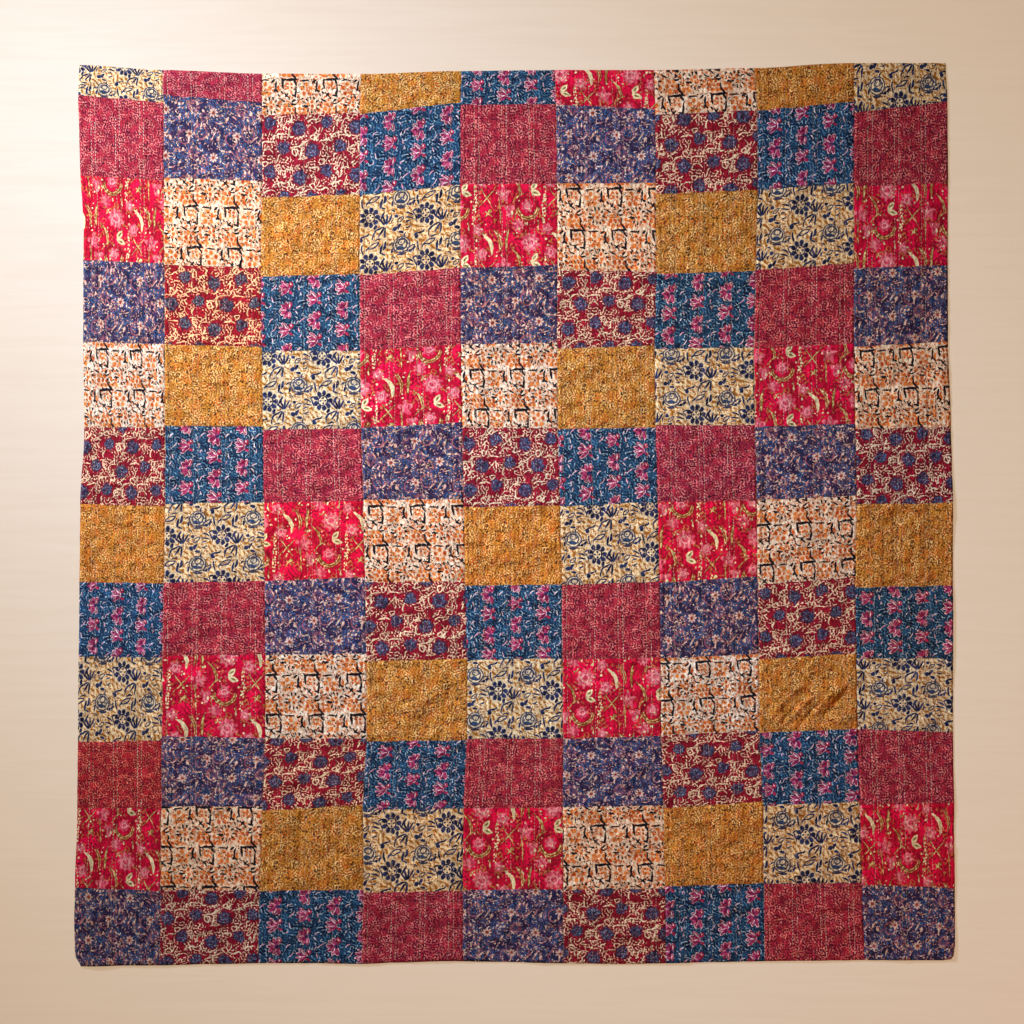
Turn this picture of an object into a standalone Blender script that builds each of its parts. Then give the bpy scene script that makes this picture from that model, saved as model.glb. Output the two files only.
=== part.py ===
# A kantha quilt laid flat: thin cotton layers held together by close rows of running stitch.
# Metres, +Z up. X runs across the quilt, Y along it, and the rows of stitching run along Y.
# The origin lies under the middle of the quilt, on the surface that carries it.

import math
from collections import namedtuple

import bmesh
import bpy

MM = 0.001

# Size of the box round the cloth, seen from above.
WIDTH = 2.272
LENGTH = 2.330

# The cloth and its quilting.
TROUGH_THICKNESS = 3.0 * MM  # where a row of stitches pulls the layers together
RIDGE_HEIGHT = 1.9 * MM  # how far the cloth puffs up between two rows
RIDGE_UNEVENNESS = 0.35  # share of that height by which one ridge differs from the next
HEM_THICKNESS = 2.6 * MM  # at the turned-in, pressed edge
STITCH_ROW_PITCH = 12.0 * MM
COLUMNS_PER_ROW_PITCH = 2  # one line of points in the trough and one on the ridge

# Where the edges rise off the surface, the underside rises with them over this width.
LIFT_REACH = 60.0 * MM

# The underside is flat, so only every few points of the rim are carried down to it.
UNDERSIDE_STEP = 4

# Lines of points across the quilt: distances in from each end, and the number between them.
HEAD_LINES = (0.0, 12.0 * MM, 60.0 * MM)
FOOT_LINES = (0.0, 12.0 * MM, 50.0 * MM, 130.0 * MM)
LINES_BETWEEN = 7

# Each edge, as points along it. draw_in_mm is how far the cloth stops short of the box there,
# and lift_mm how far its hem stands off the surface.
EdgePoint = namedtuple("EdgePoint", "along_mm draw_in_mm lift_mm")

HEAD_EDGE = (
    EdgePoint(-1124, 5.2, 0.0),
    EdgePoint(-907, 18.1, 0.0),
    EdgePoint(-654, 27.1, 0.0),
    EdgePoint(-396, 28.4, 0.3),
    EdgePoint(-141, 20.7, 0.0),
    EdgePoint(110, 18.1, 0.0),
    EdgePoint(360, 18.1, 0.4),
    EdgePoint(621, 12.9, 0.0),
    EdgePoint(873, 0.0, 0.5),
    EdgePoint(1113, 0.0, 1.0),
)
FOOT_EDGE = (
    EdgePoint(-1120, 0.0, 3.0),
    EdgePoint(-1075, 0.6, 6.0),
    EdgePoint(-917, 2.6, 3.0),
    EdgePoint(-654, 7.7, 2.0),
    EdgePoint(-396, 6.5, 3.5),
    EdgePoint(-180, 12.9, 1.5),
    EdgePoint(116, 7.7, 2.5),
    EdgePoint(298, 5.2, 1.5),
    EdgePoint(392, 7.7, 3.0),
    EdgePoint(646, 12.9, 2.0),
    EdgePoint(902, 15.5, 3.5),
    EdgePoint(1100, 15.5, 4.0),
    EdgePoint(1123, 18.0, 4.0),
    EdgePoint(1134, 30.0, 4.0),
)
LEFT_EDGE = (
    EdgePoint(-1165, 17.0, 2.0),
    EdgePoint(-1134, 2.3, 2.0),
    EdgePoint(-1051, 0.0, 0.5),
    EdgePoint(-961, 1.8, 0.0),
    EdgePoint(-760, 7.7, 0.0),
    EdgePoint(-478, 10.3, 0.3),
    EdgePoint(-220, 12.9, 0.0),
    EdgePoint(25, 15.5, 0.3),
    EdgePoint(223, 25.8, 0.0),
    EdgePoint(445, 23.2, 0.3),
    EdgePoint(724, 23.9, 0.0),
    EdgePoint(930, 13.9, 0.0),
    EdgePoint(1082, 10.3, 0.2),
    EdgePoint(1160, 12.9, 0.0),
)
RIGHT_EDGE = (
    EdgePoint(-1147, 5.0, 4.0),
    EdgePoint(-1106, 0.0, 3.5),
    EdgePoint(-961, 0.0, 2.0),
    EdgePoint(-744, 2.1, 3.0),
    EdgePoint(-560, 4.6, 1.0),
    EdgePoint(-325, 4.6, 3.0),
    EdgePoint(25, 5.2, 4.0),
    EdgePoint(223, 9.8, 1.0),
    EdgePoint(445, 17.5, 2.0),
    EdgePoint(853, 17.5, 1.0),
    EdgePoint(1066, 19.3, 2.5),
    EdgePoint(1165, 23.9, 2.0),
)

# Broad, low swells where the cloth doesn't lie quite flat.
Swell = namedtuple("Swell", "x_mm y_mm across_mm along_mm height_mm")

SWELLS = (
    Swell(-520, -860, 90, 260, 1.6),
    Swell(-640, -860, 60, 240, 1.2),
    Swell(760, -480, 160, 300, 1.8),
    Swell(-350, 480, 140, 320, 1.3),
    Swell(-250, 30, 170, 300, 1.4),
    Swell(420, 210, 120, 340, 1.1),
    Swell(980, 560, 110, 330, 1.2),
    Swell(-960, -300, 150, 320, 1.3),
    Swell(180, -620, 130, 280, 1.2),
)

CLOTH_COLOUR = (0.42, 0.13, 0.10)
CLOTH_ROUGHNESS = 0.9


def clear_scene():
    for thing in list(bpy.data.objects):
        bpy.data.objects.remove(thing, do_unlink=True)


def between(a, b, share):
    return a + (b - a) * share


def soft_step(share):
    share = min(max(share, 0.0), 1.0)
    return share * share * (3.0 - 2.0 * share)


def edge_value(edge, along, column):
    # A column of an edge's table, in metres, eased from one of its points to the next.
    along_mm = along / MM
    if along_mm <= edge[0].along_mm:
        return getattr(edge[0], column) * MM
    for first, second in zip(edge, edge[1:]):
        if along_mm <= second.along_mm:
            share = (along_mm - first.along_mm) / (second.along_mm - first.along_mm)
            return between(getattr(first, column), getattr(second, column), soft_step(share)) * MM
    return getattr(edge[-1], column) * MM


def on_the_cloth(across, up):
    # The place, seen from above, of a point that lies a share across and a share up the quilt.
    flat_x = between(-WIDTH / 2, WIDTH / 2, across)
    flat_y = between(-LENGTH / 2, LENGTH / 2, up)
    left = -WIDTH / 2 + edge_value(LEFT_EDGE, flat_y, "draw_in_mm")
    right = WIDTH / 2 - edge_value(RIGHT_EDGE, flat_y, "draw_in_mm")
    foot = -LENGTH / 2 + edge_value(FOOT_EDGE, flat_x, "draw_in_mm")
    head = LENGTH / 2 - edge_value(HEAD_EDGE, flat_x, "draw_in_mm")
    return between(left, right, across), between(foot, head, up)


def lift(x, y):
    # How far the whole cloth stands off the surface: the highest that any edge near it asks for.
    wanted = (
        (WIDTH / 2 + x, edge_value(LEFT_EDGE, y, "lift_mm")),
        (WIDTH / 2 - x, edge_value(RIGHT_EDGE, y, "lift_mm")),
        (LENGTH / 2 + y, edge_value(FOOT_EDGE, x, "lift_mm")),
        (LENGTH / 2 - y, edge_value(HEAD_EDGE, x, "lift_mm")),
    )
    return max(height * (1.0 - soft_step(inset / LIFT_REACH)) for inset, height in wanted)


def swell(x, y):
    height = 0.0
    for hump in SWELLS:
        across = (x - hump.x_mm * MM) / (hump.across_mm * MM)
        along = (y - hump.y_mm * MM) / (hump.along_mm * MM)
        height += hump.height_mm * MM * math.exp(-across * across - along * along)
    return height


def ridge(column, y):
    # Even columns lie in the stitched troughs, odd ones on the ridges between them.
    if column % COLUMNS_PER_ROW_PITCH == 0:
        return 0.0
    phase = column * 2.4 + 1.3 * math.sin(column * 0.7)
    unevenness = RIDGE_UNEVENNESS * math.sin(phase + y * 9.0) * math.sin(column * 1.9)
    return RIDGE_HEIGHT * (1.0 + unevenness)


def cloth_lines():
    # Shares of the length at which a line of points crosses the quilt, from foot to head.
    foot = [distance / LENGTH for distance in FOOT_LINES]
    head = [1.0 - distance / LENGTH for distance in reversed(HEAD_LINES)]
    steps = LINES_BETWEEN + 1
    middle = [between(foot[-1], head[0], step / steps) for step in range(1, steps)]
    return foot + middle + head


def make_face(bm, columns, lines):
    # The patched face: a plain grid whose points are then carried to their places on the cloth.
    bmesh.ops.create_grid(bm, x_segments=columns, y_segments=len(lines) - 1, size=0.5)
    for point in bm.verts:
        column = round((point.co.x + 0.5) * columns)
        line = round((point.co.y + 0.5) * (len(lines) - 1))
        x, y = on_the_cloth(column / columns, lines[line])
        at_rim = column in (0, columns) or line in (0, len(lines) - 1)
        if at_rim:
            height = HEM_THICKNESS
        else:
            height = TROUGH_THICKNESS + ridge(column, y) + swell(x, y)
        point.co = (x, y, height + lift(x, y))


def rim_loop(bm):
    # The boundary's points in order, starting from the corner at the foot on the left.
    start = min((v for v in bm.verts if v.is_boundary), key=lambda v: v.co.x + v.co.y)
    loop = [start]
    came_by = None
    while True:
        rim_edges = [e for e in loop[-1].link_edges if e.is_boundary and e is not came_by]
        came_by = rim_edges[0]
        following = came_by.other_vert(loop[-1])
        if following is start:
            return loop
        loop.append(following)


def drop_rim(bm):
    # The hem's outer wall, down to a coarser rim underneath.
    rim = [e for e in bm.edges if e.is_boundary]
    made = bmesh.ops.extrude_edge_only(bm, edges=rim)["geom"]
    for point in (g for g in made if isinstance(g, bmesh.types.BMVert)):
        point.co.z = lift(point.co.x, point.co.y)
    low = rim_loop(bm)
    corners = {min(low, key=lambda v: sx * v.co.x + sy * v.co.y) for sx in (-1, 1) for sy in (-1, 1)}
    weld = {}
    kept = low[0]
    for place, point in enumerate(low):
        along_side = abs(point.co.x - low[place - 1].co.x) < abs(point.co.y - low[place - 1].co.y)
        if point in corners or along_side or place % UNDERSIDE_STEP == 0:
            kept = point
        else:
            weld[point] = kept
    bmesh.ops.weld_verts(bm, targetmap=weld)


def close_underside(bm):
    # A sloping border under the lifted edges, round one flat face that rests on the surface.
    rim = [e for e in bm.edges if e.is_boundary]
    made = bmesh.ops.extrude_edge_only(bm, edges=rim)["geom"]
    for point in (g for g in made if isinstance(g, bmesh.types.BMVert)):
        point.co.x *= 1.0 - LIFT_REACH / (WIDTH / 2)
        point.co.y *= 1.0 - LIFT_REACH / (LENGTH / 2)
        point.co.z = 0.0
    bmesh.ops.edgeloop_fill(bm, edges=[e for e in bm.edges if e.is_boundary])


def centre(bm):
    xs = [v.co.x for v in bm.verts]
    ys = [v.co.y for v in bm.verts]
    shift = (-(min(xs) + max(xs)) / 2, -(min(ys) + max(ys)) / 2, 0.0)
    bmesh.ops.translate(bm, verts=bm.verts, vec=shift)


def cloth_material():
    material = bpy.data.materials.new("stitched_cotton")
    material.use_nodes = True
    shader = material.node_tree.nodes["Principled BSDF"]
    shader.inputs["Base Color"].default_value = (*CLOTH_COLOUR, 1.0)
    shader.inputs["Roughness"].default_value = CLOTH_ROUGHNESS
    shader.inputs["Metallic"].default_value = 0.0
    return material


def make_quilt(collection):
    bm = bmesh.new()
    stitch_rows = round(WIDTH / STITCH_ROW_PITCH)
    stitch_rows -= stitch_rows % UNDERSIDE_STEP
    make_face(bm, stitch_rows * COLUMNS_PER_ROW_PITCH, cloth_lines())
    drop_rim(bm)
    close_underside(bm)
    centre(bm)
    bmesh.ops.recalc_face_normals(bm, faces=bm.faces)
    mesh = bpy.data.meshes.new("quilt")
    bm.to_mesh(mesh)
    bm.free()
    mesh.materials.append(cloth_material())
    quilt = bpy.data.objects.new("quilt", mesh)
    collection.objects.link(quilt)


def main():
    clear_scene()
    collection = bpy.data.collections.new("kantha_quilt")
    bpy.context.scene.collection.children.link(collection)
    make_quilt(collection)


main()
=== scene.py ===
# A kantha quilt laid flat: nine strips of block-printed cotton patches on a plain backing, run
# through with rows of running stitch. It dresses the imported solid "quilt". Metres, +Z up.
import math

import bpy
import numpy as np
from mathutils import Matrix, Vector


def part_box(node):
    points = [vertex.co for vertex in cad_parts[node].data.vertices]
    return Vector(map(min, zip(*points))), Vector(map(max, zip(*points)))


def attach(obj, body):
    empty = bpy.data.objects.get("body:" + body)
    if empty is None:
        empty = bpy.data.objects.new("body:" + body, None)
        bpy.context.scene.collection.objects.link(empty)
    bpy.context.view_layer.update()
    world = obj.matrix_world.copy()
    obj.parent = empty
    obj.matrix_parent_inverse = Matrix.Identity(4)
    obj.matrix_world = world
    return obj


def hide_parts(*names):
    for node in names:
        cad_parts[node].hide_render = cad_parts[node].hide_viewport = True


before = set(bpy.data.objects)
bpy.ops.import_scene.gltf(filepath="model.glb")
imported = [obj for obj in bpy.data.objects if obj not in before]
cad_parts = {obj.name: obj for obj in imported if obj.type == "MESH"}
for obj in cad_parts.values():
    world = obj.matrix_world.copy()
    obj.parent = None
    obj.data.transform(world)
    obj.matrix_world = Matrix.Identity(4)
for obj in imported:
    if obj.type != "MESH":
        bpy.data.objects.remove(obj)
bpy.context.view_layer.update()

mm = 0.001
quiltLow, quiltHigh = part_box("quilt")
halfWidth = (quiltHigh[0] - quiltLow[0]) / 2
halfLength = (quiltHigh[1] - quiltLow[1]) / 2


# The cloth's outline and seams

edgeTables = dict(  # along the edge, how far it stops short of the box, how far its hem is lifted (mm)
    head=[(-1124, 5.2, 0), (-907, 18.1, 0), (-654, 27.1, 0), (-396, 28.4, 0.3), (-141, 20.7, 0),
          (110, 18.1, 0), (360, 18.1, 0.4), (621, 12.9, 0), (873, 0, 0.5), (1113, 0, 1)],
    foot=[(-1120, 0, 3), (-1075, 0.6, 6), (-1010, 1.6, 2.5), (-917, 2.6, 3.2), (-790, 5, 1.2),
          (-654, 7.7, 2.2), (-520, 7.2, 1), (-396, 6.5, 3.5), (-290, 9.5, 1.5), (-180, 12.9, 2.2),
          (-30, 10.8, 0.8), (116, 7.7, 2.5), (298, 5.2, 1.2), (392, 7.7, 3), (520, 10.4, 1.2),
          (646, 12.9, 2.2), (770, 14.4, 3.6), (902, 15.5, 2), (1010, 15.5, 4), (1100, 15.5, 3.4),
          (1123, 18, 4), (1134, 30, 4)],
    left=[(-1165, 17, 2), (-1134, 2.3, 2), (-1051, 0, 0.5), (-961, 1.8, 0), (-760, 7.7, 0),
          (-478, 10.3, 0.3), (-220, 12.9, 0), (25, 15.5, 0.3), (223, 25.8, 0), (445, 23.2, 0.3),
          (724, 23.9, 0), (930, 13.9, 0), (1082, 10.3, 0.2), (1160, 12.9, 0)],
    right=[(-1147, 5, 4), (-1106, 0, 3.6), (-1010, 0, 1.4), (-930, 0.6, 3), (-820, 1.6, 1),
           (-744, 2.1, 3), (-640, 3.6, 0.8), (-560, 4.6, 1), (-470, 4.6, 0.6), (-325, 4.6, 3.6),
           (-255, 4.7, 3.4), (-120, 4.9, 0.4), (25, 5.2, 4.4), (120, 7, 1.2), (223, 9.8, 0.6),
           (445, 17.5, 2), (640, 18, 0.6), (853, 17.5, 1.4), (1066, 19.3, 2.8), (1165, 23.9, 2)],
)

lineHeights = [1165, 1056, 850, 631, 432, 223, 25, -169, -368, -577, -752, -961, -1165]  # head to foot, mm
stripSeams = [  # where the eight long seams cross each of those lines (mm from the middle)
    (-907, -652, -394, -136, 103, 360, 617, 875),
    (-904, -651, -398, -139, 108, 363, 627, 876),
    (-904, -650, -399, -139, 110, 365, 628, 876),
    (-903, -654, -399, -139, 111, 367, 622, 876),
    (-902, -652, -398, -138, 110, 361, 618, 875),
    (-900, -648, -395, -134, 112, 364, 620, 879),
    (-901, -646, -390, -131, 118, 370, 625, 883),
    (-904, -644, -385, -128, 122, 374, 627, 879),
    (-908, -642, -381, -123, 124, 377, 631, 882),
    (-909, -643, -381, -122, 125, 378, 632, 885),
    (-910, -650, -391, -131, 125, 384, 641, 891),
    (-912, -657, -389, -133, 126, 389, 643, 896),
    (-916, -661, -394, -133, 126, 391, 645, 903),
]
crossSeams = [  # how far each strip's seam lies above its line, at its left and right end (mm)
    [(26, 5), (26, 6), (-26, -20), (-24, 7), (0, 2), (2, -10), (-26, -12), (-15, 8), (-20, 9)],
    [(25, 10), (18, 9), (-33, -24), (-27, 1), (2, 2), (4, 5), (-24, -13), (-13, 4), (-4, 4)],
    [(25, 17), (14, 5), (-17, -11), (-14, 5), (5, 12), (-2, -5), (-11, -3), (0, 17), (4, 11)],
    [(14, 7), (7, 0), (-11, -9), (-9, 6), (6, 11), (-4, 4), (-6, 0), (-3, 8), (0, 14)],
    [(1, 2), (5, 5), (-4, -1), (0, 15), (1, -1), (-3, 2), (7, 8), (3, 11), (-3, 3)],
    [(2, -4), (2, 7), (5, 10), (12, 15), (-6, -2), (-4, 8), (7, 11), (12, 24), (2, 5)],
    [(-5, -8), (-7, -2), (-2, 7), (-5, -4), (-15, -11), (-13, -4), (-7, 9), (-12, 8), (-19, -14)],
    [(2, 0), (3, 8), (6, 10), (-11, -3), (-7, -4), (-6, -1), (-3, 8), (-5, 9), (-4, -3)],
    [(-9, -6), (5, 1), (0, 0), (-8, -5), (-1, 0), (-1, 7), (7, 21), (15, 24), (24, 15)],
    [(-5, -5), (-1, 0), (-11, 2), (-9, -6), (-5, -3), (-2, 1), (-5, 12), (2, 12), (3, 9)],
    [(-1, -9), (-6, -9), (-9, -6), (-13, -10), (-8, -5), (-6, -3), (2, 11), (8, 12), (6, -1)],
]
patchPlan = [  # the print of each patch, from the head down: a letter for each strip
    "ABDEFGDEA", "BCHFBCHFB", "GDEAGDEAG", "CHFBCHFBC", "DEAGDEAGD", "HFBCHFBCH",
    "EAGDEAGDE", "FBCHFBCHF", "AGDEAGDEA", "BCHFBCHFB", "GDEAGDEAG", "CHFBCHFBC",
]

cloth = dict(
    seamThickness=3.0 * mm,  # in a stitched trough
    thinnest=1.2 * mm, thin=2.2 * mm,  # a trough levels out between these, so that it stays on the backing
    rimHeight=1.2 * mm,  # where the hem's face turns under
    rowsPerStrip=21, columnsPerRow=4,  # rows about 12 mm apart
    ridgeHeight=0.85 * mm, ridgeUnevenness=0.8,
    stitchPitch=8.2 * mm, stitchDip=0.4 * mm,
    puckerHeight=1.0 * mm, rippleHeight=0.6 * mm, blotchHeight=2.3 * mm,
    edgeWaver=0.5 * mm, seamWaver=1.5 * mm,
    seamDepth=1.3 * mm, seamWidth=3.0 * mm, allowanceHeight=0.7 * mm, allowanceWidth=9 * mm,
    hemWidth=11 * mm, hemRoll=0.8 * mm,
    liftReach=60 * mm, creaseGain=1.9, creaseSpread=1.4, creaseBend=0.0012,
)

swells = [  # x, y, half width, half length, height (mm): broad places that don't lie quite flat
    (-520, -860, 90, 260, 1.6), (-640, -860, 60, 240, 1.2), (760, -480, 160, 300, 1.8),
    (-350, 480, 140, 320, 1.3), (-250, 30, 170, 300, 1.4), (420, 210, 120, 340, 1.1),
    (980, 560, 110, 330, 1.2), (-960, -300, 150, 320, 1.3), (180, -620, 130, 280, 1.2),
]
creases = [  # x, y, half length, half width, height, turn: troughs are negative (mm, degrees)
    (742, -491, 52, 5, 2.2, 43), (768, -505, 48, 4, -2.2, 45), (797, -482, 48, 5, 2.3, 48),
    (822, -490, 45, 4, -2.2, 49), (700, -476, 60, 6, 1.5, 46), (714, -508, 45, 4, -1.8, 48),
    (842, -448, 35, 5, 1.3, 50), (690, -560, 30, 4, -1.2, 55),
    (-555, -835, 60, 4, -1.5, 88), (-472, -830, 55, 4, -1.5, 92), (-515, -915, 26, 4, 1.2, 8),
    (-520, -820, 50, 9, 1.1, 90), (-600, -850, 40, 7, 1.0, 84), (-435, -870, 40, 6, 0.9, 96),
    (-538, 117, 45, 6, -1.1, -12), (-555, 80, 50, 6, 1.0, 6), (-500, 60, 45, 6, -1.0, 18),
    (-470, 175, 30, 4, -1.1, 88), (-420, 120, 50, 7, -0.9, 52), (-560, 150, 35, 6, 0.9, -20),
    (-360, 615, 45, 6, -1.1, 14), (-280, 590, 40, 6, 1.0, 20), (-230, 560, 40, 5, -1.0, -12),
    (-330, 530, 45, 6, 0.9, -8), (-190, 500, 30, 6, -1.0, 30), (-260, 620, 30, 5, 0.8, -30),
    (-1010, -40, 60, 8, 1.1, 50), (-1060, -95, 45, 7, -1.0, 58), (-980, -120, 50, 7, 0.9, 40),
    (-760, -215, 55, 7, -1.0, 4), (-790, -255, 50, 6, 0.9, -6), (-730, -300, 50, 6, -1.0, 9),
    (-85, -110, 60, 5, -1.0, 88), (-40, -90, 45, 6, 0.9, 60), (20, -130, 50, 6, -0.9, 50),
    (204, 320, 45, 4, -1.2, 89), (175, 380, 40, 6, 0.8, 4), (260, 340, 30, 5, -0.8, 2),
    (940, -110, 75, 6, 1.0, 89), (985, -100, 70, 5, -1.1, 91), (1040, -90, 70, 6, 0.9, 90),
    (1080, -120, 55, 5, -0.9, 88), (650, 60, 60, 5, -1.0, 90), (710, 80, 60, 6, 0.8, 92),
    (40, 720, 50, 5, -0.9, 90), (75, 690, 40, 6, 0.8, 80), (-90, 860, 60, 5, -0.8, 91),
    (-240, -480, 55, 8, 0.9, 22), (-310, -520, 45, 7, -0.9, 12), (-200, -560, 50, 7, 0.8, 32),
    (500, -370, 55, 7, -0.8, 2), (420, -880, 50, 7, 0.9, 84), (560, -1050, 50, 7, -0.9, 20),
    (-900, 620, 60, 7, 0.8, 86), (-1000, -870, 60, 7, 0.9, 70), (-780, -1080, 55, 7, -0.8, 12),
    (300, -1070, 55, 7, 0.8, 100), (980, -1060, 45, 7, -0.9, 20), (1020, 830, 50, 6, 0.8, 84),
    (-778, 866, 120, 4, -1.7, -5), (-770, 876, 115, 6, 1.3, -5), (-985, 1040, 90, 5, -0.9, -7),
    (-350, 838, 90, 5, -0.9, 3), (180, 845, 80, 5, -0.8, 2), (750, 440, 90, 5, -0.9, 2),
]


def eased(table, along, column):
    # a column of a table in metres, eased from one of its points to the next
    points = np.array(table)
    place = np.clip(along / mm, points[0, 0], points[-1, 0])
    first = np.clip(np.searchsorted(points[:, 0], place, side="right") - 1, 0, len(points) - 2)
    share = (place - points[first, 0]) / (points[first + 1, 0] - points[first, 0])
    share = share * share * (3 - 2 * share)
    return (points[first, column] * (1 - share) + points[first + 1, column] * share) * mm


def softStep(share):
    share = np.clip(share, 0, 1)
    return share * share * (3 - 2 * share)


def softNoise(x, y, size, seed):
    # smooth value noise from -1 to 1, the same on each run
    lattice = np.random.default_rng(seed).uniform(-1, 1, (256, 256))
    u, v = x / size[0], y / size[1]
    column, line = np.floor(u).astype(int), np.floor(v).astype(int)
    s, t = softStep(u - column), softStep(v - line)

    def corner(right, up):
        return lattice[(column + right) % 256, (line + up) % 256]

    low = corner(0, 0) * (1 - s) + corner(1, 0) * s
    high = corner(0, 1) * (1 - s) + corner(1, 1) * s
    return low * (1 - t) + high * t


def waver(along, seed):
    # the small in and out of a stitched edge, from -1 to 1
    return 0.6 * softNoise(along, along * 0 + seed * mm, (17 * mm, mm), 31) + 0.4 * softNoise(
        along, along * 0 + seed * mm, (48 * mm, mm), 32)


def sideEdge(name, y):
    inset = eased(edgeTables[name], y, 1) + cloth["edgeWaver"] * (1 + waver(y, len(name)))
    return inset - halfWidth if name == "left" else halfWidth - inset


def endEdge(name, x):
    inset = eased(edgeTables[name], x, 1) + cloth["edgeWaver"] * (1 + waver(x, 9 + ord(name[0])))
    return inset - halfLength if name == "foot" else halfLength - inset


def longSeam(number, y):
    # x of a long seam at height y: 0 is the left edge, 9 the right one
    if number in (0, 9):
        return sideEdge("left" if number == 0 else "right", y)
    heights = np.array(lineHeights[::-1]) * mm
    places = np.array([line[number - 1] for line in stripSeams[::-1]]) * mm
    return np.interp(y, heights, places) + cloth["seamWaver"] * waver(y, 40 + number)


def crossLine(strip, line, across):
    # height of a strip's cross seam: 0 is the head, 12 the foot
    if line in (0, 12):
        middle = lineHeights[line] * mm
        x = longSeam(strip, middle) * (1 - across) + longSeam(strip + 1, middle) * across
        return endEdge("head" if line == 0 else "foot", x)
    left, right = crossSeams[line - 1][strip]
    along = (strip + across) * 2 * halfWidth / 9
    sway = cloth["seamWaver"] * 1.2 * waver(along, 60 + line * 2 + strip % 2)
    return lineHeights[line] * mm + (left * (1 - across) + right * across) * mm + sway


def hemLift(x, y):
    # how far the cloth stands off the floor near its edges
    wanted = [
        (halfWidth + x, eased(edgeTables["left"], y, 2)),
        (halfWidth - x, eased(edgeTables["right"], y, 2)),
        (halfLength + y, eased(edgeTables["foot"], x, 2)),
        (halfLength - y, eased(edgeTables["head"], x, 2)),
    ]
    return np.max([height * (1 - softStep(inset / cloth["liftReach"])) for inset, height in wanted], axis=0)


def handFolds(x, y):
    height = np.zeros_like(x)
    for cx, cy, wide, long, high in swells:
        height += high * mm * np.exp(-((x / mm - cx) / wide) ** 2 - ((y / mm - cy) / long) ** 2)
    for cx, cy, long, wide, high, turn in creases:
        angle = math.radians(turn)
        dx, dy = x / mm - cx, y / mm - cy
        along = dx * math.cos(angle) + dy * math.sin(angle)
        across = dy * math.cos(angle) - dx * math.sin(angle) + cloth["creaseBend"] * along * along
        height += cloth["creaseGain"] * high * mm * np.exp(
            -((across / wide / cloth["creaseSpread"]) ** 2) - (along / long) ** 4)
    return height


def quilting(x, y, rowNumber):
    # ridges between the stitched rows, and the small puckers that the stitches draw up
    lobe = np.abs(np.sin(rowNumber * math.pi))
    uneven = 1 + cloth["ridgeUnevenness"] * softNoise(rowNumber, y, (1, 55 * mm), 11)
    height = cloth["ridgeHeight"] * lobe * uneven
    nearRow = 1 - lobe
    stitch = np.sin(2 * math.pi * (y / cloth["stitchPitch"] + 7.3 * np.sin(np.round(rowNumber) * 12.9)))
    height += cloth["stitchDip"] * nearRow * stitch
    height += cloth["puckerHeight"] * softNoise(x, y, (11 * mm, 7 * mm), 12)
    height += cloth["puckerHeight"] * softNoise(x, y, (19 * mm, 13 * mm), 13)
    height += cloth["rippleHeight"] * softNoise(x, y, (17 * mm, 95 * mm), 14)
    height += cloth["blotchHeight"] * softNoise(x, y, (48 * mm, 36 * mm), 15)
    return height


def rimInset(x, y):
    # how far a place lies inside the cloth's rim
    return np.min([
        x - sideEdge("left", y), sideEdge("right", y) - x,
        y - endEdge("foot", x), endEdge("head", x) - y,
    ], axis=0)


def clothTop(number, across, x, y):
    # height of the cloth's face in a strip, and how far each place is from the nearest seam
    rowNumber = number * cloth["rowsPerStrip"] + across * cloth["rowsPerStrip"]
    height = cloth["seamThickness"] + quilting(x, y, rowNumber) + handFolds(x, y)
    width = longSeam(number + 1, y) - longSeam(number, y)
    toLeft = across * width if number > 0 else np.ones_like(x)
    toRight = (1 - across) * width if number < 8 else np.ones_like(x)
    toCross = np.ones_like(x)
    underCross = np.ones_like(x)
    for line in range(1, len(lineHeights) - 1):
        gap = crossLine(number, line, across) - y
        toCross = np.minimum(toCross, np.abs(gap))
        underCross = np.where(gap >= 0, np.minimum(underCross, gap), underCross)
    toSeam = np.minimum(np.minimum(toLeft, toRight), toCross)
    height -= cloth["seamDepth"] * np.exp(-((toSeam / cloth["seamWidth"]) ** 2))
    allowance = np.minimum(underCross, toLeft)  # the seam is pressed to one side
    height += cloth["allowanceHeight"] * np.exp(-(((allowance - cloth["allowanceWidth"] * 0.6)
                                                   / (cloth["allowanceWidth"] * 0.5)) ** 2))
    give = cloth["thin"] - cloth["thinnest"]
    levelled = cloth["thin"] - give * (1 - np.exp(-np.maximum(cloth["thin"] - height, 0) / give))
    height = np.where(height < cloth["thin"], levelled, height)
    inset = rimInset(x, y)
    rise = softStep(inset / cloth["hemWidth"]) ** 0.5
    roll = cloth["hemRoll"] * np.exp(-(((inset - cloth["hemWidth"] * 0.5) / (cloth["hemWidth"] * 0.3)) ** 2))
    height = cloth["rimHeight"] + (height - cloth["rimHeight"]) * rise + roll
    return height + hemLift(x, y), toSeam


def newGrid(name, columns, lines):
    # a flat unit grid, its mesh and the places of its points
    bpy.ops.object.select_all(action="DESELECT")
    bpy.ops.mesh.primitive_grid_add(x_subdivisions=columns, y_subdivisions=lines, size=1)
    piece = bpy.context.object
    piece.name = piece.data.name = name
    places = np.empty(len(piece.data.vertices) * 3)
    piece.data.vertices.foreach_get("co", places)
    return piece, piece.data, places.reshape(-1, 3)


def meshCorners(mesh):
    # the point at each corner of each face
    corners = np.empty(len(mesh.loops), int)
    mesh.loops.foreach_get("vertex_index", corners)
    return corners


def setMap(layer, u, v):
    layer.data.foreach_set("uv", np.stack([u, v], axis=1).ravel())


def smoothFaces(mesh):
    mesh.polygons.foreach_set("use_smooth", np.ones(len(mesh.polygons), bool))


# One strip: a grid with a line of points on every seam, carried to its place on the cloth

stripMesh = dict(linesPerPatch=47, linesInHeadPatch=23, bakeAcross=3, bakeDown=4, bakeMargin=0.01)


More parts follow.
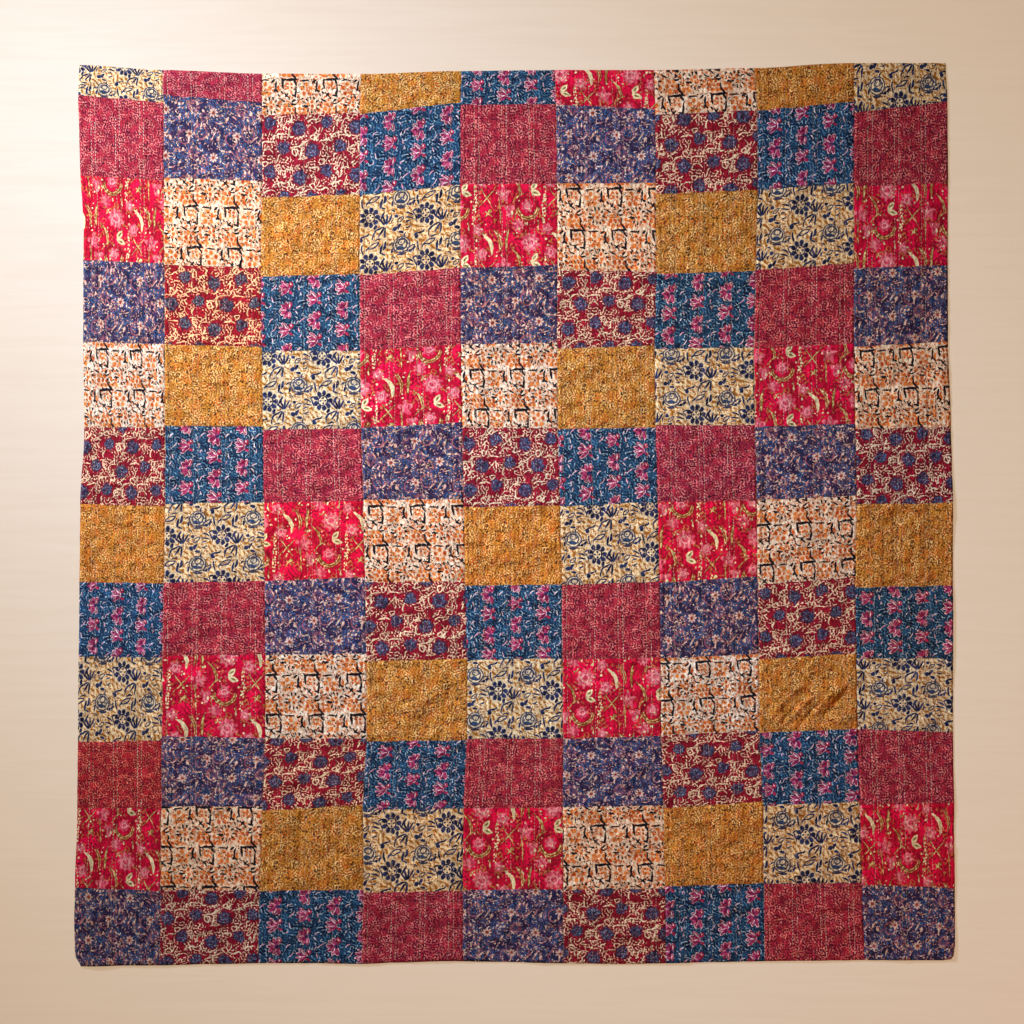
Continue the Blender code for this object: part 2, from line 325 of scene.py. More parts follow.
def makeStrip(number):
    columns = cloth["rowsPerStrip"] * cloth["columnsPerRow"]
    patches = len(patchPlan)
    linesIn = [stripMesh["linesInHeadPatch"]] + [stripMesh["linesPerPatch"]] * (patches - 1)
    lines = sum(linesIn)
    strip, mesh, places = newGrid(f"strip{number + 1}", columns, lines)
    column = np.rint((places[:, 0] + 0.5) * columns).astype(int)
    line = np.rint((0.5 - places[:, 1]) * lines).astype(int)  # counted from the head
    starts = np.cumsum([0] + linesIn)
    patch = np.clip(np.searchsorted(starts, line, side="right") - 1, 0, patches - 1)
    down = (line - starts[patch]) / np.array(linesIn)[patch]
    across = column / columns

    seams = np.array([crossLine(number, k, across) for k in range(patches + 1)])
    every = np.arange(len(line))
    y = seams[patch, every] * (1 - down) + seams[patch + 1, every] * down
    x = longSeam(number, y) * (1 - across) + longSeam(number + 1, y) * across

    height, toSeam = clothTop(number, across, x, y)
    places = np.stack([x, y, height], axis=1)
    mesh.vertices.foreach_set("co", places.ravel())

    corners = meshCorners(mesh)
    faceLine = line[corners.reshape(-1, 4)].min(axis=1)
    facePatch = np.clip(np.searchsorted(starts, faceLine, side="right") - 1, 0, patches - 1)
    cornerPatch = np.repeat(facePatch, 4)
    cornerDown = (line[corners] - starts[cornerPatch]) / np.array(linesIn)[cornerPatch]
    cornerHeight = seams[cornerPatch, corners] - seams[cornerPatch + 1, corners]
    printPlace = mesh.uv_layers.new(name="print")
    phase = np.array([printPhase(number, p) for p in range(patches)])[cornerPatch]
    cutWidth = 2 * halfWidth / 9
    u = across[corners] * cutWidth + phase[:, 0]
    v = -cornerDown * cornerHeight.mean() * np.where(cornerPatch == 0, 0.5, 1) + phase[:, 1]
    setMap(printPlace, u, v)
    bakePlace = mesh.uv_layers.new(name="OFBake")  # three patches across, four down
    margin = stripMesh["bakeMargin"]
    cellX, cellY = cornerPatch % stripMesh["bakeAcross"], cornerPatch // stripMesh["bakeAcross"]
    u = (cellX + margin + across[corners] * (1 - 2 * margin)) / stripMesh["bakeAcross"]
    v = 1 - (cellY + margin + cornerDown * (1 - 2 * margin)) / stripMesh["bakeDown"]
    setMap(bakePlace, u, v)
    mesh.uv_layers.active = printPlace
    printPlace.active_render = True

    dye = mesh.attributes.new(name="dye", type="FLOAT", domain="FACE")  # -1 cooler, 1 warmer than its print
    dye.data.foreach_set("value", np.array([patchDye(number, p) for p in range(patches)])[facePatch])
    # puff also sets where shade is painted into the troughs, and a little light onto the ridges, of the printed
    # cottons' colour
    puff = mesh.attributes.new(name="puff", type="FLOAT", domain="POINT")  # 0 in a trough, 1 on a ridge
    lobe = np.abs(np.sin(across * cloth["rowsPerStrip"] * math.pi))
    puff.data.foreach_set("value", lobe * np.clip(toSeam / cloth["seamWidth"] / 2, 0, 1))
    smoothFaces(mesh)
    letters = sorted({row[number] for row in patchPlan})
    for letter in letters:
        mesh.materials.append(printMaterials[letter])
    order = np.array([letters.index(row[number]) for row in patchPlan])
    mesh.polygons.foreach_set("material_index", order[facePatch])
    mesh.update()

    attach(strip, "root")
    return strip


def printPhase(strip, patch):
    # where a patch was cut from its print, so that no two like patches match
    return ((strip * 0.0731 + patch * 0.0417) % 0.19, (strip * 0.0533 + patch * 0.0891) % 0.17)


def patchDye(strip, patch):
    # two patches are clearly redder in the photo; the rest differ a little, as hand-dyed cuts do
    if (strip, patch) in ((1, 3), (0, 9)):
        return 2.2
    return 0.8 * math.sin(strip * 4.7 + patch * 2.9) * math.sin(strip * 1.3 + patch * 5.1)


# The backing: plain cotton under the whole quilt, turned up at the rim

backing = dict(columns=378, lines=36, rimRise=1.25 * mm, tuck=0.3 * mm, dimple=0.5 * mm, rimReach=6 * mm,
               endCrowding=0.012)


def makeBacking():
    back, mesh, places = newGrid("quiltBacking", backing["columns"], backing["lines"])
    across, up = places[:, 0] + 0.5, places[:, 1] + 0.5
    up = up - backing["endCrowding"] * np.sin(up * 2 * math.pi)  # closer lines at the ends
    flatX = (across * 2 - 1) * halfWidth
    flatY = (up * 2 - 1) * halfLength
    x = sideEdge("left", flatY) * (1 - across) + sideEdge("right", flatY) * across
    y = endEdge("foot", flatX) * (1 - up) + endEdge("head", flatX) * up
    inset = np.maximum(rimInset(x, y), 0)
    rim = 1 - softStep(inset / backing["rimReach"])
    row = np.abs(np.sin(across * backing["columns"] / 2 * math.pi))
    dimple = backing["dimple"] * (1 - row) * (1 - rim)
    height = hemLift(x, y) + rim * backing["rimRise"] + dimple
    x = x * (1 - backing["tuck"] * rim / halfWidth)
    y = y * (1 - backing["tuck"] * rim / halfLength)
    mesh.vertices.foreach_set("co", np.stack([x, y, height], axis=1).ravel())
    clothPlace = mesh.uv_layers.active
    clothPlace.name = "print"
    corners = meshCorners(mesh)
    setMap(clothPlace, flatX[corners], flatY[corners])
    bpy.ops.object.mode_set(mode="EDIT")
    bpy.ops.mesh.select_all(action="SELECT")
    bpy.ops.mesh.flip_normals()
    bpy.ops.object.mode_set(mode="OBJECT")
    smoothFaces(mesh)
    mesh.materials.append(printMaterials["backing"])
    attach(back, "root")
    return back


# Thread: pale running stitches, one modelled and the rest copied along two of every six rows. The
# other rows are troughs only

stitching = dict(every=6, first=3, pairGap=1, length=5.2 * mm, width=1.7 * mm, rise=0.65 * mm, sink=0.15 * mm,
                 lost=0.14, drift=0.35 * mm, hemGap=14 * mm, lengths=(0.75, 1.15), slant=0.12, endDrop=0.6,
                 shows=dict(A=0.55, B=1, C=0.45, D=0.6, E=0.5, F=0.45, G=0.7, H=0.6))


def makeThreads():
    thread, oneMesh, one = newGrid("paleThread", 2, 2)
    oneFaces = np.array([face.vertices[:] for face in oneMesh.polygons])
    random = np.random.default_rng(21)
    points = []
    rows = cloth["rowsPerStrip"]
    for row in range(rows * 9):
        if (row - stitching["first"]) % stitching["every"] > stitching["pairGap"]:
            continue
        number = row // rows
        across = (row % rows) / rows
        start = -halfLength + stitching["hemGap"] + random.uniform(0, cloth["stitchPitch"])
        middles = np.arange(start, halfLength - 2 * stitching["hemGap"], cloth["stitchPitch"])
        middles = middles[random.uniform(0, 1, len(middles)) > stitching["lost"]]
        count = len(middles)
        length = stitching["length"] * random.uniform(*stitching["lengths"], count)[:, None]
        y = middles[:, None] + one[:, 1] * length
        aside = stitching["drift"] * random.uniform(-1, 1, count)[:, None]
        slant = stitching["slant"] * random.uniform(-1, 1, count)[:, None] * one[:, 1] * length
        seams = range(1, len(patchPlan))
        patch = np.sum([middles < crossLine(number, line, across) for line in seams], axis=0)
        shows = np.array([stitching["shows"][patchPlan[p][number]] for p in patch])
        width = stitching["width"] * shows[:, None]
        x = (longSeam(number, y) * (1 - across) + longSeam(number + 1, y) * across
             + one[:, 0] * width + aside + slant)
        share = (x - longSeam(number, y)) / (longSeam(number + 1, y) - longSeam(number, y))
        height = clothTop(number, share.ravel(), x.ravel(), y.ravel())[0].reshape(x.shape)
        raised = (one[:, 0] == 0) * (1 - stitching["endDrop"] * (one[:, 1] != 0))
        height = height + raised * stitching["rise"] - stitching["sink"] * (raised == 0)
        inside = (rimInset(x, y) > stitching["hemGap"] / 2).all(axis=1)
        points.append(np.stack([x, y, height], axis=2)[inside])
    points = np.concatenate(points)
    count = len(points)
    faces = (oneFaces[None] + len(one) * np.arange(count)[:, None, None]).reshape(-1, 4)
    mesh = bpy.data.meshes.new("paleThread")
    mesh.from_pydata(points.reshape(-1, 3).tolist(), [], faces.tolist())
    thread.data = mesh
    place = mesh.uv_layers.new(name="OFBake")  # a small square for each stitch
    corners = meshCorners(mesh)
    across = math.ceil(math.sqrt(count))
    stitch, corner = corners // len(one), corners % len(one)
    u = (stitch % across + 0.5 + 0.8 * one[corner, 0]) / across
    v = (stitch // across + 0.5 + 0.8 * one[corner, 1]) / across
    setMap(place, u, v)
    smoothFaces(mesh)
    mesh.materials.append(printMaterials["thread"])
    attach(thread, "root")
    return thread


# Printed cottons. Each print is drawn in millimetres on the cloth, from a block that is set down
# again and again, and a shape's value is below 1 inside it


def hexColour(text):
    parts = [int(text[k:k + 2], 16) / 255 for k in (0, 2, 4)]
    return [p / 12.92 if p <= 0.04045 else ((p + 0.055) / 1.055) ** 2.4 for p in parts] + [1]


def addNode(tree, kind, *links, **settings):
    # one node, its inputs in order and its settings by name; hands back the output in use
    node = tree.nodes.new("ShaderNode" + kind)
    inputs = {}
    for name, value in settings.items():
        if name[0].isupper():
            inputs[name.replace("_", " ")] = value
        else:
            setattr(node, name, value)
    inputs.update({number: value for number, value in enumerate(links) if value is not None})
    for key, value in inputs.items():
        if isinstance(value, bpy.types.NodeSocket):
            tree.links.new(value, node.inputs[key])
        else:
            node.inputs[key].default_value = value
    return next((output for output in node.outputs if output.enabled), None)


class Block:
    # a printing block: the place on the cloth (mm) and how far apart the block is set down

    def __init__(self, tree, place, repeat=(100, 100)):
        self.tree, self.place, self.repeat = tree, place, repeat

    def setDown(self, repeat):
        return Block(self.tree, self.place, repeat)

    def near(self, at, size, turn):
        # the place as seen from a shape's middle, in units of half its size
        high = [at[k] + self.repeat[k] / 2 for k in (0, 1)] + [1]
        low = [at[k] - self.repeat[k] / 2 for k in (0, 1)] + [-1]
        wrapped = addNode(self.tree, "VectorMath", self.place, high, low, operation="WRAP")
        return addNode(self.tree, "Mapping", wrapped, (at[0], at[1], 0), (0, 0, math.radians(turn)),
                       (size[0] / 2, size[1] / 2, 1), vector_type="TEXTURE")

    def joined(self, shapes):
        whole = shapes[0]
        for shape in shapes[1:]:
            whole = addNode(self.tree, "Math", whole, shape, operation="MINIMUM")
        return whole

    def strokes(self, rows):
        # brushed strokes: x, y, length, width, turn, bow (mm, degrees)
        shapes = []
        for x, y, length, width, turn, bow in rows:
            spot = self.near((x, y), (length, width), turn)
            if bow == 0:
                shapes.append(addNode(self.tree, "VectorMath", spot, spot, operation="DOT_PRODUCT"))
                continue
            along = addNode(self.tree, "SeparateXYZ", spot)
            across = along.node.outputs["Y"]
            square = addNode(self.tree, "Math", along, along, operation="MULTIPLY")
            bent = addNode(self.tree, "Math", square, 2 * bow / width, across, operation="MULTIPLY_ADD")
            shapes.append(addNode(self.tree, "Math", bent, bent, square, operation="MULTIPLY_ADD"))
        return self.joined(shapes)

    def leaves(self, rows):
        # pointed leaves: x, y, length, width, turn
        shapes = []
        for x, y, length, width, turn, _ in rows:
            along = addNode(self.tree, "SeparateXYZ", self.near((x, y), (length, width), turn))
            across = addNode(self.tree, "Math", along.node.outputs["Y"], operation="ABSOLUTE")
            shapes.append(addNode(self.tree, "Math", along, along, across, operation="MULTIPLY_ADD"))
        return self.joined(shapes)

    def flower(self, at, size, petals, depth, turn=0):
        # a scalloped flower
        spot = self.near(at, (size, size), turn)
        along = addNode(self.tree, "SeparateXYZ", spot)
        angle = addNode(self.tree, "Math", along.node.outputs["Y"], along, operation="ARCTAN2")
        turns = addNode(self.tree, "Math", angle, petals, operation="MULTIPLY")
        wave = addNode(self.tree, "Math", turns, operation="COSINE")
        reach = addNode(self.tree, "Math", wave, depth, 1 - depth, operation="MULTIPLY_ADD")
        far = addNode(self.tree, "VectorMath", spot, operation="LENGTH")
        return addNode(self.tree, "Math", far, reach, operation="DIVIDE")

    def petalRing(self, at, ring, petals, size, turn=0):
        # separate petals in a ring of the given diameter
        spot = self.near(at, (2, 2), turn)
        along = addNode(self.tree, "SeparateXYZ", spot)
        angle = addNode(self.tree, "Math", along.node.outputs["Y"], along, operation="ARCTAN2")
        step = math.pi / petals
        angle = addNode(self.tree, "Math", angle, step, -step, operation="WRAP")
        far = addNode(self.tree, "VectorMath", spot, operation="LENGTH")
        out = addNode(self.tree, "Math", addNode(self.tree, "Math", angle, operation="COSINE"),
            far, -ring / 2,
                      operation="MULTIPLY_ADD")
        side = addNode(self.tree, "Math", addNode(self.tree, "Math", angle, operation="SINE"), far,
                       operation="MULTIPLY")
        petal = addNode(self.tree, "CombineXYZ", out, side, 0)
        petal = addNode(self.tree, "VectorMath", petal, (size[0] / 2, size[1] / 2, 1), operation="DIVIDE")
        return addNode(self.tree, "VectorMath", petal, operation="LENGTH")

    def band(self, shape, middle, width):
        # a line that runs along a shape's edge
        off = addNode(self.tree, "Math", shape, middle, operation="SUBTRACT")
        off = addNode(self.tree, "Math", off, operation="ABSOLUTE")
        return addNode(self.tree, "Math", off, width, operation="DIVIDE")

    def within(self, shape, limit):
        return addNode(self.tree, "Math", shape, limit, operation="MAXIMUM")

    def here(self, size, seed, level):
        # scattered areas, fewer with a lower level
        return addNode(self.tree, "Math", self.mottle(size, seed),
            9, 1 - 9 * level, operation="MULTIPLY_ADD")

    def clearOf(self, shape, other, edge=1):
        # what of a shape lies outside another
        far = addNode(self.tree, "Math", other, -4, 1 + 4 * edge, operation="MULTIPLY_ADD")
        return addNode(self.tree, "Math", shape, far, operation="MAXIMUM")

    def mottle(self, size, seed, detail=0, distortion=0, stretch=1):
        spot = addNode(self.tree, "VectorMath", self.place, (1 / size, stretch / size, 1),
                       (seed * 7.31, seed * 3.17, 0), operation="MULTIPLY_ADD")
        return addNode(self.tree, "TexNoise", spot, Scale=1, Detail=detail, Distortion=distortion,
                       noise_dimensions="2D")

    def worms(self, pitch, seed, light, dark, straight=0.0):
        # close winding lines of an even pitch over two shares of the cloth: light, and dark between
        spot = addNode(self.tree, "VectorMath", self.place, (1 / (1.6 * pitch), 1 / (1.6 * pitch), 1),
                       (seed * 7.31, seed * 3.17, 0), operation="MULTIPLY_ADD")
        lines = addNode(self.tree, "TexGabor", spot, Scale=1, Frequency=1.6, Anisotropy=straight)
        off = addNode(self.tree, "Math", lines.node.outputs["Phase"], 0.5, operation="SUBTRACT")
        off = addNode(self.tree, "Math", off, operation="ABSOLUTE")
        return (addNode(self.tree, "Math", off, light / 2, operation="DIVIDE"),
                addNode(self.tree, "Math", off, -2 / dark, 1 / dark, operation="MULTIPLY_ADD"))

    def dots(self, spacing, size, seed, **settings):
        spot = addNode(self.tree, "VectorMath", self.place, (1 / spacing, 1 / spacing, 1),
                       (seed * 3.7, seed, 0), operation="MULTIPLY_ADD")
        far = addNode(self.tree, "TexVoronoi", spot, Scale=1, voronoi_dimensions="2D", **settings)
        return addNode(self.tree, "Math", far, size / 2 / spacing, operation="DIVIDE")

    def branches(self, spacing, width, seed):
        # lines that branch between rounded cells
        return self.dots(spacing, width, seed, feature="DISTANCE_TO_EDGE")

    def grown(self, shape, times):
        # a shape made larger about its own middle
        return addNode(self.tree, "Math", shape, times, operation="DIVIDE")

    def ink(self, under, shape, colour, crisp=3):
        # one colour printed inside a shape
        share = addNode(self.tree, "Math", shape, -crisp, crisp + 0.5, operation="MULTIPLY_ADD", use_clamp=True)
        colour = hexColour(colour) if isinstance(colour, str) else colour
        return addNode(self.tree, "MixRGB", share, under, colour)

    def shade(self, one, other, share):
        # a slow change from one dye shade to another
        share = addNode(self.tree, "MapRange", share, 0.38, 0.62, 0, 1)
        colours = [hexColour(colour) if isinstance(colour, str) else colour for colour in (one, other)]
        return addNode(self.tree, "MixRGB", share, *colours)


def fan(x, y, reach, length, width, *turns):
    # rows for strokes or leaves that spread from one point
    return [(x + reach * math.cos(math.radians(turn)), y + reach * math.sin(math.radians(turn)),
        length, width,
             turn, 0) for turn in turns]


def creamIndigoFloral(block):
    # cream ground with tan veins, and an indigo outline print of ring flowers, leaves and buds
    ground = block.shade("C4822F", "E4A654", block.mottle(24, 1, 1))
    light, dark = block.worms(13, 2, 0.46, 0.2, 0.5)
    ground = block.ink(ground, light, "F8E0B2", 2.4)
    ground = block.ink(ground, dark, "8E5620", 2)
    light, dark = block.worms(7, 5, 0.3, 0.26, 0.3)
    ground = block.ink(ground, block.within(light, block.here(20, 8, 0.5)), "FBE8C4", 2)
    ground = block.ink(ground, block.within(dark, block.here(22, 9, 0.5)), "B87C3A", 1.5)
    block = block.setDown((140, 112))
    ringFlower = block.joined([
        block.petalRing((0, 0), 38, 9, (13.5, 12)), block.band(block.strokes([(0, 0, 24, 24, 0, 0)]),
            1, 0.26),
        block.petalRing((0, 0), 13, 4, (6, 5)),
    ])
    solid = block.strokes([
        (28, 32, 25, 7, 80, 1), (38, 40, 22, 7, 76, -2), (31, 2, 23, 6, 60, 2), (9, -42, 28, 5, 62, 5),
        (20, -55, 18, 4.6, 10, 2), (-20, 34, 27, 5.2, 98, 2.5), (-18, -46, 31, 5, 17, 2),
        (-30, 28, 15, 4.6, 60, 2),
        (-27, 10, 14, 5, 20, 2), (34, 20, 12, 5, -20, 0), (-6, 36, 16, 4.6, 40, 3), (56, 28, 13, 5, 80, 0),
        (-5, -42, 9, 4.6, 60, 0), (63, -33, 13, 11, 30, 0), (73, -28, 17, 8, 60, 2),
        (79, -42, 14, 7, -15, 0),
        (101, 2, 22, 4.6, -25, 2), (99, -8, 24, 4.6, -12, 2), (114, -5, 30, 3.4, -68, 3),
        (94, -17, 14, 4.4, 20, 3), (97, -31, 15, 4, 20, -3), (101, 24, 7, 8, 0, 0), (60, 12, 13, 4, -30, 2),
        (-23, -54, 11, 11, 45, 0), (66, -3, 10, 9, 0, 0), (14, -25, 13, 8, 60, 0), (52, 44, 14, 4, 30, 2),
        (55, -12, 14, 4, 70, 3), (86, -50, 15, 4, 80, 3),
    ] + fan(40, -24, 17, 28, 5.4, 60, 84, 108, 134, 200, 232, 262))
    drawn = block.leaves([(9, 43, 36, 13, 22, 0), (76, -12, 22, 11, 35, 0), (103, 30, 28, 11, 38, 0)])
    drawn = block.band(drawn, 0.76, 0.28)
    medal = block.strokes([(79, 40, 44, 40, 0, 0)])
    medalFoot = block.strokes([(77, 33, 21, 8, -8, 1)])
    medalLine = block.joined([block.band(medal, 0.9, 0.12), block.strokes([(79, 17, 25, 6, 0, -2)]),
                              block.band(block.strokes([(79, 41, 31, 28, 10, 0)]), 0.9, 0.2),
                              block.band(block.strokes([(80, 46, 17, 14, 20, 0)]), 0.9, 0.35)])
    motifs = block.joined([ringFlower, solid, drawn])
    ground = block.ink(ground, block.grown(motifs, 1.5), "F6E4C0", 1.5)
    ground = block.ink(ground, medal, "EBD8B4", 5)
    ground = block.ink(ground, block.within(block.dots(9, 5, 6), medal), "6E7584", 2)
    ground = block.ink(ground, medalFoot, "2F4A70", 3)
    ground = block.ink(ground, medalLine, "3A3C58", 3)
    navy = block.shade("12163A", "2C3562", block.mottle(12, 7))
    return block.ink(ground, motifs, navy, 3)


def creamOrangeBracket(block):
    # off-white ground, orange petals, and black brackets, ticks and dashed rings, each row stepped aside
    step = addNode(block.tree, "VectorMath", block.place, (0, 0.1075, 0), operation="DOT_PRODUCT")
    aside = addNode(block.tree, "VectorMath", block.place, addNode(block.tree, "CombineXYZ", step, 0, 0),
                    operation="ADD")
    block = Block(block.tree, aside, (105, 93))
    ground = block.shade("FFF0DC", "FBE2C8", block.mottle(14, 11))
    ground = block.ink(ground, block.branches(12, 1.7, 12), "E2A078", 1)
    petals = block.joined([
        block.petalRing((11, -71), 24, 6, (10, 9)), block.petalRing((60, -23), 24, 5, (10, 9.5), 18),
        block.petalRing((17, -14), 14, 4, (7, 6), 45), block.petalRing((68, -58), 13, 3, (9, 7), 60),
        block.petalRing((45, 18), 19, 4, (9, 8), 45), block.petalRing((96, 22), 18, 4, (7, 6), 20),
        block.strokes([(11, -71, 8, 8, 0, 0), (27, -81, 14, 8, 20, 0), (-12, -20, 14, 6, 88, 0),
            (60, -23, 5, 5, 0, 0),
                       (48, -77, 12, 5, 20, 0), (4, 11, 10, 7, 30, 0), (36, -52, 8, 7, 0, 0),
                       (86, -72, 9, 7, 0, 0)]),
    ])
    orange = block.shade("CC551A", "EE8C40", block.mottle(15, 13))
    ground = block.ink(ground, block.grown(petals, 1.35), "F6CBA4", 3)
    ground = block.ink(ground, petals, orange, 4)
    ground = block.ink(ground, block.within(block.dots(9, 5.4, 14), block.here(24, 15, 0.5)), "DB7434", 2.4)
    black = block.strokes([
        (18, 1, 42, 6, 3, 0.5), (0, -9, 26, 6, 90, 0.5), (31, 8, 24, 6, -50, 0), (32, -6, 18, 5.4, -62, 0),
        (27, 21, 18, 4.1, 86, 1), (25, 35, 21, 4.1, 0, -5), (24, 43, 12, 4.9, 42, 0),
        (8, -38, 23, 4.4, -46, 0),
        (8, -36, 14, 4.3, 42, 0), (31, -31, 23, 6, 78, 1), (26, -38, 15, 4.9, -14, 0),
        (33, -18, 9, 3.6, 80, 0),
        (58, -1, 26, 4.1, 0, 1.2), (81, -3, 14, 4.9, 32, 0), (87, -12, 21, 5.6, 78, 1),
        (85, -24, 12, 6, 48, 0), (90, -27, 9, 5, -42, 0),
        (93, -36, 8, 3.8, -60, 0), (50, -62, 9, 4.2, 10, 0), (58, -63, 9, 4.2, -10, 0),
        (101, -50, 17, 4.1, -25, -1),
        (76, -42, 4, 4.9, 20, 0), (-4, -30, 9, 3.6, -50, 0), (46, -45, 8, 3.6, 30, 0),
    ])
    dashes = block.petalRing((70, -60), 34, 11, (8, 4))
    specks = block.within(block.dots(8, 3.4, 16), block.here(22, 17, 0.48))
    return block.ink(ground, block.joined([black, dashes, specks]), "15101C", 4)


def blueTulip(block):
    # indigo-blue ground with fine curls, and pink tulips and lotus flowers in columns
    ground = block.shade("111C3C", "28587F", block.mottle(22, 21, 1))
    light, dark = block.worms(7.8, 22, 0.26, 0.3, 0.2)
    ground = block.ink(ground, dark, block.shade("0C1636", "1A3C66", block.mottle(26, 24)), 2)
    ground = block.ink(ground, light, block.shade("2A5478", "4E86AC", block.mottle(18, 23)), 2)
    ground = block.ink(ground, block.within(light, block.here(12, 25, 0.4)), "A4BED0", 2)
    block = block.setDown((144, 108))
    lotuses = fan(9, 54, 12, 22, 10.4, 74, 108, 142, 176, 210, 244, 278)
    lotuses += fan(82, 27, 13, 24, 11, 76, 110, 144, 178, 212, 246, 280)
    tulips = fan(12, 2, 14, 29, 9.4, 138, 164, 190, 218) + fan(85, -25, 15, 30, 9.4, 136, 162, 188, 216)
    cap = block.strokes([(15, 12, 12, 14, 10, 0), (15, -8, 12, 7, -32, 0), (13, 68, 11, 11, 0, 0),
                         (87, 43, 11, 13, 30, 0), (88, -14, 12, 14, 0, 0), (89, -35, 12, 7, -30, 0)])
    heart = block.strokes([(9, 54, 9, 8, 0, 0), (82, 27, 10, 9, -8, 0), (14, -1, 7, 6, 0, 0),
        (87, -26, 6, 6, 0, 0)])
    petals = block.strokes(lotuses + tulips)
    striped = lotuses[::3] + tulips[::2]
    stripes = block.strokes([(x, y, length * 0.6, 3, turn, 0) for x, y, length, _, turn, _ in striped]
                            + [(15, 14, 3, 6, 15, 0), (88, -12, 3, 6, 0, 0), (87, 44, 3, 6, 30, 0)])
    sprigs = block.strokes([
        (34, 62, 14, 3, 35, 2), (30, 48, 12, 2.6, -50, 1), (36, 3, 2.6, 13, 10, 0),
        (40, -12, 2.6, 11, -15, 0),
        (31, 22, 11, 2.4, 60, 0), (108, 30, 15, 3, 40, 2), (112, -24, 2.6, 14, 12, 0),
        (106, -42, 10, 2.6, 50, 0),
        (44, 30, 22, 2.4, 40, 3), (118, 4, 22, 2.4, 50, -3),
    ])
    rose = block.shade("7C1648", "BE4678", block.mottle(8, 26))
    ground = block.ink(ground, block.grown(petals, 1.5), "0D1636", 2)
    ground = block.ink(ground, petals, rose, 3)
    rim = block.within(block.band(petals, 0.9, 0.22), block.here(9, 28, 0.6))
    ground = block.ink(ground, rim, "F0C6D2", 3.4)
    ground = block.ink(ground, heart, block.shade("1B2A58", "4A3A6A", block.mottle(6, 29)), 3)
    ground = block.ink(ground, cap, block.shade("8C1238", "C03058", block.mottle(7, 27)), 4)
    return block.ink(ground, block.joined([stripes, sprigs]),
        block.shade("E8A8BC", "F6E6EA", block.mottle(9, 30)), 3)


def crimsonRose(block):
    # crimson ground with pink roses, gold double arcs and cream leaves
    ground = block.shade("C80232", "F4064A", block.mottle(55, 31, 1))
    light, dark = block.worms(10, 37, 0.28, 0.3)
    ground = block.ink(ground, block.within(dark, block.here(26, 32, 0.58)), "96062C", 1.8)
    block = block.setDown((181, 171))
    ground = block.ink(ground, block.within(light, block.here(22, 38, 0.4)), "B87A40", 2)
    roses = block.joined([
        block.flower((0, 0), 31, 7, 0.12), block.flower((8, -87), 50, 9, 0.12, 20), block.flower((51, -55),
            30, 5, 0.16),
        block.flower((60, -112), 35, 6, 0.14, 10), block.flower((118, -143), 42, 5, 0.24, 18),
        block.flower((135, -8), 31, 3, 0.24, 30), block.flower((158, -45), 34, 9, 0.2),
        block.strokes([(135, -18, 14, 20, 0, 0)]),
    ])
    rose = block.shade("DC4668", "F4848E", block.mottle(9, 33))
    ground = block.ink(ground, roses, rose, 18)
    inRose = addNode(block.tree, "Math", roses, 1.3, operation="MULTIPLY")
    ground = block.ink(ground, block.within(dark, block.within(inRose, block.here(12, 40, 0.5))),
        "CE2E58", 2)
    folds = block.joined([block.within(light, block.within(inRose, block.here(10, 39, 0.42))),
                          block.band(block.strokes([(0, 0, 15, 14, 0, 0), (8, -87, 22, 20, 0, 0),
                              (60, -112, 13, 17, 0, 0),
                                                    (51, -55, 12, 8, 0, 0)]), 0.8, 0.25)])
    ground = block.ink(ground, folds, "F8AEB2", 3)
    lower = block.strokes([(1, -35, 84, 76, 0, 0)])
    cup = block.within(block.joined([block.band(block.strokes([(1, -2, 49, 49, 0, 0)]), 1.0, 0.13),
                                     block.band(block.strokes([(1, -2, 59, 60, 0, 0)]), 1.0, 0.10)]), lower)
    gold = block.joined([
        cup, block.strokes([
            (107, -80, 55, 3.2, -76, 8), (112, -79, 52, 2.2, -76, 8), (127, -80, 50, 6, 84, 2),
            (156, -120, 55, 3.6, -66, 8), (161, -122, 50, 2.2, -66, 8), (155, -150, 38, 2.4, 38, 3),
            (75, -151, 52, 2.8, -54, 0), (75, -152, 58, 2.6, 44, 0), (78, -17, 24, 3, 45, 0),
            (80, -18, 22, 3, -35, 0),
            (110, -10, 2.8, 62, 2, 0), (84, -12, 11, 8, 20, 0), (28, -44, 2.6, 18, 0, 0),
            (150, -20, 26, 2.4, 70, 3),
            (-14, -68, 22, 2.4, 40, 2), (168, -30, 20, 2.2, 120, 2),
        ]),
    ])
    ground = block.ink(ground, block.grown(gold, 2.2), "9A0428", 2)
    ground = block.ink(ground, gold, block.shade("A07A3A", "EBD28C", block.mottle(7, 34)), 3)
    moon = block.strokes([(85, -86, 55, 10, -66, 10)])
    leaves = block.leaves([(18, -124, 26, 13, 50, 0), (22, -140, 29, 13, -20, 0)])
    beads = block.within(block.dots(6.5, 5, 35), block.strokes([(42, -15, 8, 66, 0, 0),
        (46, -150, 8, 70, 0, 0)]))
    cream = block.joined([moon, leaves, beads, block.strokes([(49, -80, 6, 6, 0, 0), (141, -16, 7, 9, 0, 0),
                                                             (28, -52, 4, 10, 10, 0),
                                                             (-1, -42, 4, 9, 0, 0)]),
                          block.within(block.dots(14, 4.4, 45), block.here(24, 36, 0.35))])
    ground = block.ink(ground, cream, "F6E8B8", 4)
    return block.ink(ground, block.leaves([(18, -124, 13, 4, 50, 0), (22, -140, 15, 4, -20, 0)]),
        "7C6A33", 3)


